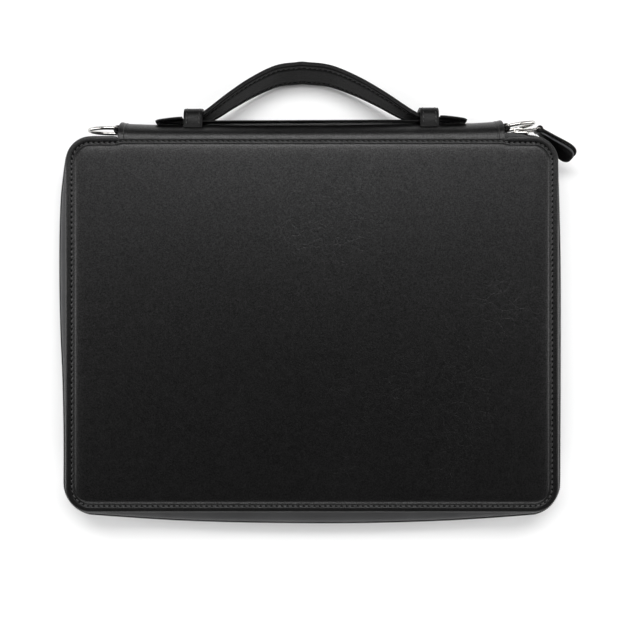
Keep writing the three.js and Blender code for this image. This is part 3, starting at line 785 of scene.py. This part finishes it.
def spine_profile():
    """How far the frame's spine stands out, at each of its stations along X"""
    low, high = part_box("spine_wrap")
    reach = {}
    for vertex in frame["nodes"]["spine_wrap"].data.vertices:
        if abs(vertex.co.z - case_middle_z) < 0.3 * spine_half:
            x = round(vertex.co.x, 5)
            reach[x] = max(reach.get(x, 0), vertex.co.y)
    return low[1], sorted(reach.items())


spine_foot, spine_reaches = spine_profile()
hem_free = [(x, y) for x, y in spine_reaches if abs(x) < spine_end - hem_reach - 0.01 * mm]
facet_share = math.cos(math.pi / spine_facets)
crown = [Vector((x, (y - spine_foot) / facet_share, 0)) for x, y in hem_free]
crown.insert(0, Vector((spine_left, crown[0].y + 0.45 * mm, 0)))
crown.append(Vector((spine_right, crown[-1].y + 0.5 * mm, 0)))
crown = smooth_line(crown, 1.5 * mm)


def spine_depth(x):
    for start, end in zip(crown, crown[1:]):
        if x <= end.x:
            return start.y + (end.y - start.y) * (x - start.x) / (end.x - start.x)
    return crown[-1].y


def hem_rise(x):
    """The hem's cord swells the leather near each end, and its row of stitches draws it in"""
    from_end = min(x - spine_left, spine_right - x)
    if from_end < 0:
        return 0
    cord = math.sqrt(max(1 - ((from_end - 1.3 * mm) / (1.3 * mm)) ** 2, 0)) * 0.5 * mm
    second = math.exp(-((from_end - 4.7 * mm) / (0.8 * mm)) ** 2) * 0.25 * mm
    valley = math.exp(-((from_end - hem_length) / (0.45 * mm)) ** 2) * 0.3 * mm
    layer = 0.35 * mm * (1 - smoothstep(4.2 * mm, 5.6 * mm, from_end))
    return cord + second + layer - valley


def spine_place(x, angle, lift=0):
    rise = hem_rise(x) + lift
    depth = spine_depth(x) + rise
    half = spine_half + min(rise, 0.4 * mm)
    return Vector((x, spine_foot + depth * math.cos(angle), case_middle_z + half * math.sin(angle)))


def spine_surface(share, turn):
    """The leather's columns lie closer together at the two hems"""
    if share < end_share:
        x = spine_left + share / end_share * end_length
    elif share > 1 - end_share:
        x = spine_right - (1 - share) / end_share * end_length
    else:
        plain_length = spine_right - spine_left - 2 * end_length
        x = spine_left + end_length + (share - end_share) / (1 - 2 * end_share) * plain_length
    return spine_place(x, (0.5 - turn) * math.pi)


spine = laid_grid("spine_leather", 400, 48, spine_surface)
finish_with(spine, "SOLIDIFY", thickness=spine_wall, offset=-1)
facing_out(spine)
bpy.ops.object.shade_smooth_by_angle(angle=math.radians(50))
dressed(spine, cover_leather)
sewn_into(spine, "case", "cover_leather", "spine_wrap")

hem_places = []
for x in (spine_left + hem_length, spine_right - hem_length):
    for step in range(-11, 12):
        angle = step * hem_stitch_turn
        middle = spine_place(x, angle, 0.05 * mm)
        ahead = spine_place(x, angle + 0.02, 0.05 * mm)
        out = Vector((0, math.cos(angle), math.sin(angle)))
        hem_places.append((middle, ahead - middle, out))
hem_stitches = sewn_row("hem_stitches", hem_places, 0.85)
sewn_into(hem_stitches, "case", "strap_leather")

# RING LOOPS
# A doubled strip of strap leather goes through each D-ring. Its two ends are sewn in under the
# spine's hem, and its cut edges are slightly rounded.
strap_leather = black_leather(
    "strap_leather", (0.002, 0.0019, 0.002), 0.36, pebble_height, veins=0, gloss=0.14,
)


def cut_from_node(name, node, merge_flats=True):
    """A welded copy of a frame solid as the start of a piece"""
    only(frame["nodes"][node])
    bpy.ops.object.duplicate()
    piece = bpy.context.object
    piece.name = name
    for key in [key for key in piece.keys() if key.startswith("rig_")]:
        del piece[key]
    piece.parent = None
    bpy.ops.object.mode_set(mode="EDIT")
    bpy.ops.mesh.select_all(action="SELECT")
    bpy.ops.mesh.remove_doubles(threshold=0.01 * mm)
    if merge_flats:
        bpy.ops.mesh.dissolve_limited(angle_limit=math.radians(1))
    bpy.ops.object.mode_set(mode="OBJECT")
    return piece


def rounded_edges(piece, width, sharper_than, smooth_below):
    finish_with(
        piece, "BEVEL", width=width, segments=2, limit_method="ANGLE",
        angle_limit=math.radians(sharper_than),
    )
    bpy.ops.object.shade_smooth_by_angle(angle=math.radians(smooth_below))


for side in ("left", "right"):
    loop = cut_from_node("ring_loop_" + side, "ring_tab_" + side)
    rounded_edges(loop, 0.35 * mm, 50, 40)
    dressed(loop, strap_leather)
    sewn_into(loop, "case", "strap_leather", "ring_tab_" + side)

# D-RINGS
# Rings of polished nickel wire, one at each end of the spine, for a shoulder strap. Each hangs
# in its leather loop by the straight bar and swings about it.
ring_joints = {joint["name"]: joint for joint in frame["joints"]}
ring_radius, solid_radius = 1.32 * mm, 1.3 * mm
ring_depth, ring_corner, ring_arm = 21.5 * mm, 3 * mm, 6.5 * mm
right_ring_turn = math.radians(11)


def polished_nickel():
    finish, nodes, links, shader = new_finish("polished_nickel", 0.17)
    place = nodes.new("ShaderNodeTexCoord").outputs["Object"]
    haze = noise(nodes, 160, 5)
    scratches = noise(nodes, 900, 2, 0.5, 2)
    for texture in (haze, scratches):
        links.new(place, texture.inputs["Vector"])
    colour = two_tone(nodes, links, haze.outputs["Fac"], (0.4, 0.385, 0.36), (0.68, 0.67, 0.65))
    links.new(colour, shader.inputs["Base Color"])
    links.new(spread(nodes, links, haze.outputs["Fac"], 0.3, 0.7, 0.1, 0.24), shader.inputs["Roughness"])
    links.new(relief(nodes, links, scratches.outputs["Fac"], 0.01 * mm), shader.inputs["Normal"])
    shader.inputs["Metallic"].default_value = 1
    return finish


def bent_wire(name, path, radius):
    """A round wire bent to a closed line: a ring of points made a curve, thickened and made a mesh"""
    bpy.ops.mesh.primitive_circle_add(vertices=len(path), radius=1)
    wire = bpy.context.object
    wire.name = name
    for vertex, place in zip(wire.data.vertices, path):
        vertex.co = place
    bpy.ops.object.convert(target="CURVE")
    wire.data.bevel_depth = radius
    wire.data.bevel_resolution = 4
    bpy.ops.object.convert(target="MESH")
    wire = bpy.context.object
    facing_out(wire)
    bpy.ops.object.shade_smooth()
    return wire


def ring_outline(depth, width, corner, arm):
    """A D in the flat: bar on the Y axis, two short arms, and a half ellipse to the tip"""
    half = width / 2
    line = []
    for i in range(9):
        angle = math.pi + math.pi / 2 * i / 8
        line.append((corner + corner * math.cos(angle), -half + corner + corner * math.sin(angle)))
    for i in range(1, 4):
        line.append((corner + (arm - corner) * i / 4, -half))
    for i in range(41):
        angle = -math.pi / 2 + math.pi * i / 40
        line.append((arm + (depth - arm) * math.cos(angle), half * math.sin(angle)))
    for i in range(1, 4):
        line.append((arm - (arm - corner) * i / 4, half))
    for i in range(9):
        angle = math.pi / 2 + math.pi / 2 * i / 8
        line.append((corner + corner * math.cos(angle), half - corner + corner * math.sin(angle)))
    for i in range(1, 8):
        line.append((0, (half - corner) * (1 - i / 4)))
    return line


nickel = polished_nickel()
for side, sense, swing in (("left", -1, 0), ("right", 1, right_ring_turn)):
    bar = Vector(ring_joints[f"ring_{side}_swing"]["pos_m"])
    low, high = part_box("d_ring_" + side)
    width = high[2] - low[2] - 2 * solid_radius
    path = []
    for x, z in ring_outline(ring_depth, width, ring_corner, ring_arm):
        path.append(bar + Vector((sense * x * math.cos(swing), x * math.sin(swing), z)))
    ring = bent_wire("ring_" + side, path, ring_radius)
    dressed(ring, nickel)
    sewn_into(ring, "ring_" + side, "nickel", "d_ring_" + side)

# HANDLE STRAP
# Two layers of strap leather sewn together with their edges painted, broad in the hand and
# drawn in at its ends. It stands up from the spine and leans a little over the case.


def lofted_stations(node, size):
    """The rings of points that a frame solid was lofted through, from its left end to its right"""
    source = cut_from_node("measured", node, merge_flats=False)
    mesh = source.data
    near = {v.index: set() for v in mesh.vertices}
    for face in mesh.polygons:
        for a in face.vertices:
            near[a].update(b for b in face.vertices if b != a)
    ring = sorted((v.index for v in mesh.vertices), key=lambda i: mesh.vertices[i].co.x)[:size]
    seen, rings = set(), []
    while ring:
        rings.append([mesh.vertices[i].co.copy() for i in ring])
        seen.update(ring)
        ring = sorted({b for a in ring for b in near[a]} - seen)
    bpy.data.objects.remove(source)
    return rings


def strap_stations():
    """Middle, way across, width and thickness of the frame's strap at each of its stations"""
    rings = lofted_stations("handle_strap", 8)
    middles = [sum(ring, Vector()) / len(ring) for ring in rings]
    stations = []
    for i, ring in enumerate(rings):
        along = (middles[min(i + 1, len(middles) - 1)] - middles[max(i - 1, 0)]).normalized()
        upper = [p for p in ring if p.z > middles[i].z]
        lower = [p for p in ring if p.z <= middles[i].z]
        across = sum(upper, Vector()) / len(upper) - sum(lower, Vector()) / len(lower)
        across = (across - along * across.dot(along)).normalized()
        out = across.cross(along).normalized()
        width = 2 * max((p - middles[i]).dot(across) for p in ring)
        thickness = 2 * max((p - middles[i]).dot(out) for p in ring)
        stations.append((middles[i], across, width, thickness))
    return stations


def curve_through(rows, runs, run):
    """A value on the smooth curve through one row of values, at a run along it"""
    index = 0
    while index < len(runs) - 2 and runs[index + 1] < run:
        index += 1
    t = (run - runs[index]) / (runs[index + 1] - runs[index])
    before, start, end, after = (
        rows[min(max(index + k, 0), len(rows) - 1)] for k in (-1, 0, 1, 2)
    )
    value = 0.5 * (2 * start + (end - before) * t + (2 * before - 5 * start + 4 * end - after) * t * t
                   + (3 * start - before - 3 * end + after) * t ** 3)
    return value, index


def along_stations(stations, runs, run):
    """Middle, way across, way out, width and thickness of a strip, at a run along it"""
    middle, index = curve_through([s[0] for s in stations], runs, run)
    ahead, _ = curve_through([s[0] for s in stations], runs, run + 0.2 * mm)
    along = (ahead - middle).normalized()
    across = curve_through([s[1] for s in stations], runs, run)[0]
    across = (across - along * across.dot(along)).normalized()
    out = across.cross(along).normalized()
    sizes, _ = curve_through([Vector((s[2], s[3], 0)) for s in stations], runs, run)
    return middle, across, out, sizes.x, sizes.y


def sewn_section(width, thickness, crease, seam):
    """Outline of a doubled strip: rounded, painted edges with a line between the two layers, and
    on both faces a crease by the edge and a groove for the stitches"""
    half, face = width / 2, thickness / 2
    quarter = [(0, face), (half * 0.4, face)]
    for inset, spread_by, depth in ((seam, 0.5 * mm, 0.17 * mm), (crease, 0.3 * mm, 0.2 * mm)):
        line = half - inset
        quarter += [(line - spread_by, face), (line, face - depth), (line + spread_by, face)]
    quarter += [(half - face * 0.45, face), (half - face * 0.2, face * 0.9),
                (half - face * 0.05, face * 0.68), (half, face * 0.45), (half, face * 0.16)]
    groove = (half - 0.16 * mm, 0)
    right = quarter + [groove] + [(across, -out) for across, out in reversed(quarter)]
    return right + [(-across, out) for across, out in reversed(right[1:-1])]


def runs_of(stations):
    runs = [0]
    for start, end in zip(stations, stations[1:]):
        runs.append(runs[-1] + (end[0] - start[0]).length)
    return runs


def strip_along(name, stations, columns, crease, seam):
    """A doubled strip of strap leather laid along a row of stations"""
    runs = runs_of(stations)
    width, thickness = max(s[2] for s in stations), stations[0][3]

    def place(share, across_by, out_by):
        middle, across, out, wide, thick = along_stations(stations, runs, share * runs[-1])
        return middle + across * across_by * wide / width + out * out_by * thick / thickness

    strip = lofted(name, columns, sewn_section(width, thickness, crease, seam), place)
    dressed(strip, strap_leather)
    return strip


def stitches_along(name, stations, inset, pitch, faces, scale, body="case"):
    """Rows of stitches near both edges of such a strip"""
    runs = runs_of(stations)
    places = []
    for step in range(int(runs[-1] / pitch - 0.4)):
        run = (step + 0.7) * pitch
        middle, across, out, width, thickness = along_stations(stations, runs, run)
        ahead = along_stations(stations, runs, run + 0.3 * mm)[0]
        for side in (1, -1):
            row = middle + across * side * (width / 2 - inset)
            for face in faces:
                place = row + out * face * (thickness / 2 + 0.02 * mm)
                places.append((place, ahead - middle, out * face))
    stitches = sewn_row(name, places, scale)
    sewn_into(stitches, body, "strap_leather")


handle_stations = strap_stations()
strap = strip_along("strap", handle_stations, 210, 1.4 * mm, 3.6 * mm)
sewn_into(strap, "case", "strap_leather", "handle_strap")
stitches_along("strap_stitches", handle_stations, 3.6 * mm, 3.8 * mm, (1, -1), 0.9)

# STOPS AND KEEPERS
# Each end of the strap has a wider stop sewn on, which can't slip back through the keeper.
# The keeper is a leather loop over the strap, sewn through the spine at both of its feet.
stop_wall, stop_droop = 1.7 * mm, 2.3 * mm
for side in ("left", "right"):
    low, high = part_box("handle_tail_" + side)
    sense = -1 if side == "left" else 1
    inner, outer = (high[0], low[0]) if side == "left" else (low[0], high[0])
    stop_stations = []
    for i in range(13):
        share = i / 12
        droop = stop_droop * share ** 1.6
        rounding = math.sqrt(max(1 - max((share - 0.8) / 0.21, 0) ** 2, 0))
        width = (high[2] - low[2]) * (0.7 + 0.3 * rounding)
        middle = Vector((inner + (outer - inner) * share, (low[1] + high[1]) / 2 - droop, case_middle_z))
        stop_stations.append((middle, Vector((0, 0, sense)), width, stop_wall))
    stop = strip_along("stop_" + side, stop_stations, 36, 0.9 * mm, 2.4 * mm)
    sewn_into(stop, "case", "strap_leather", "handle_tail_" + side)
    stitches_along("stop_stitches_" + side, stop_stations, 2.4 * mm, 3 * mm, (1, -1), 0.75)

keeper_length = 13.5 * mm
keeper_wall = 2 * mm
for side in ("left", "right"):
    low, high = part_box("keeper_" + side)
    half, crown_y = (high[2] - low[2]) / 2 - keeper_wall / 2, high[1] - keeper_wall / 2
    arch = []
    for i in range(33):
        angle = math.pi * i / 32
        z = math.copysign(abs(math.cos(angle)) ** 0.6, math.cos(angle)) * half
        y = low[1] + (crown_y - low[1]) * math.sin(angle) ** 0.6
        middle = Vector(((low[0] + high[0]) / 2, y, case_middle_z - z))
        arch.append((middle, Vector((-1, 0, 0)), keeper_length, keeper_wall))
    keeper = strip_along("keeper_loop_" + side, arch, 64, 0.9 * mm, 2.3 * mm)
    sewn_into(keeper, "case", "strap_leather", "keeper_" + side)
    stitches_along("keeper_stitches_" + side, arch, 2.3 * mm, 3.2 * mm, (1,), 0.75)

# SLIDER AND PULL
# A cast nickel slider with a wire link through its bridge. Both are polished like the rings,
# and the slider's edges are slightly rounded.
slider = cut_from_node("slider", "zip_slider")
rounded_edges(slider, 0.28 * mm, 40, 35)
dressed(slider, nickel)
sewn_into(slider, "case", "nickel", "zip_slider")
link = cut_from_node("pull_link", "zip_pull_link")
finish_with(link, "SUBSURF", levels=2, render_levels=2)
bpy.ops.object.shade_smooth()
dressed(link, nickel)
sewn_into(link, "pull", "nickel", "zip_pull_link")

# PULL TAB
# A strip of strap leather folded round the link and sewn along its edges, with a rounded end.
# It falls away past the case's corner and twists over as it does.
# Its shape is given by rows of place along it, share of its width and share of its twist.
pull_hinge = Vector(ring_joints["pull_swing"]["pos_m"])
link_rise, link_reach = math.radians(5), 14.3 * mm
pull_fall, pull_twist = math.radians(-39), math.radians(42)
pull_size = (31.2 * mm, 15 * mm, 3 * mm)
eye_bore, eye_wall = 1.1 * mm, 1.2 * mm
layer_step, layer_wall = 2.3 * mm, 1.3 * mm
pull_shape = [
    (0, 0.72, 0), (0.08, 0.76, 0.04), (0.16, 0.9, 0.08), (0.26, 0.98, 0.15), (0.42, 1, 0.35),
    (0.6, 1, 0.66), (0.76, 1, 0.9), (0.88, 0.93, 1), (0.96, 0.74, 1), (1, 0.46, 1),
]
eye_middle = pull_hinge + Vector((math.cos(link_rise), math.sin(link_rise), 0)) * link_reach
pull_along = Vector((math.cos(pull_fall), math.sin(pull_fall), 0))
pull_side = Vector((-math.sin(pull_fall), math.cos(pull_fall), 0))
pull_stations, layer_stations = [], []
for place, width, lean in pull_shape:
    turn = pull_twist * lean
    across = pull_side * math.sin(turn) + Vector((0, 0, math.cos(turn)))
    to_case = pull_along.cross(across)
    middle = eye_middle + pull_along * (eye_bore + place * pull_size[0])
    width *= pull_size[1]
    pull_stations.append((middle - to_case * layer_wall / 2, across, width, pull_size[2] - layer_wall))
    layer_middle = middle + to_case * (pull_size[2] - layer_wall - 0.1 * mm) / 2 - across * layer_step / 2
    layer_stations.append((layer_middle, across, width - layer_step, layer_wall))
tab = strip_along("pull_tab", pull_stations, 60, 0.8 * mm, 2.4 * mm)
sewn_into(tab, "pull", "strap_leather", "zip_pull_tab")


def edge_paint_and_highlight():
    """Edge paint over the cut layers: grey and a little glossy, with fine unevenness. Its light grey is
    partly a painted highlight on the edge that faces the light
    """
    finish, nodes, links, shader = new_finish("edge_paint_and_highlight", 0.35)
    place = nodes.new("ShaderNodeTexCoord").outputs["Object"]
    uneven = noise(nodes, 500, 4)
    links.new(place, uneven.inputs["Vector"])
    colour = two_tone(nodes, links, uneven.outputs["Fac"], (0.02, 0.021, 0.022), (0.1, 0.105, 0.11))
    links.new(colour, shader.inputs["Base Color"])
    links.new(relief(nodes, links, uneven.outputs["Fac"], 0.05 * mm), shader.inputs["Normal"])
    return finish


# The layer on the case's side is cut lower, so its painted edge shows along the whole tab. That upper
# edge is edge paint lightened into a painted highlight
layer = strip_along("pull_layer", layer_stations, 60, 0.7 * mm, 1.7 * mm)
layer.data.materials.append(edge_paint_and_highlight())
upper_edge = [s[0] + s[1] * (s[2] / 2) for s in layer_stations]
upper_line = smooth_line(upper_edge, 1 * mm)
# Only faces along the layer's upper edge, the side towards the light, take the light edge colour: edge
# paint and painted highlight
for face in layer.data.polygons:
    nearest = min((face.center - point).length for point in upper_line)
    if nearest < 1.1 * mm:
        face.material_index = 1
sewn_into(layer, "pull", "strap_leather")
stitches_along("pull_stitches", pull_stations[:-2], 1.2 * mm, 3 * mm, (1, -1), 0.75, body="pull")

# Where the tab is folded round the link's end, its leather makes an eye
bpy.ops.mesh.primitive_cylinder_add(
    vertices=40, radius=eye_bore + eye_wall, depth=pull_size[1] * 0.72,
    end_fill_type="NOTHING", location=eye_middle,
)
eye = bpy.context.object
eye.name = "pull_eye"
bpy.ops.object.transform_apply(location=True, rotation=True, scale=True)
finish_with(eye, "SOLIDIFY", thickness=eye_wall, offset=-1)
rounded_edges(eye, 0.25 * mm, 50, 40)
dressed(eye, strap_leather)
sewn_into(eye, "pull", "strap_leather")

# The model stitch was there only to be copied
bpy.data.objects.remove(one_stitch)
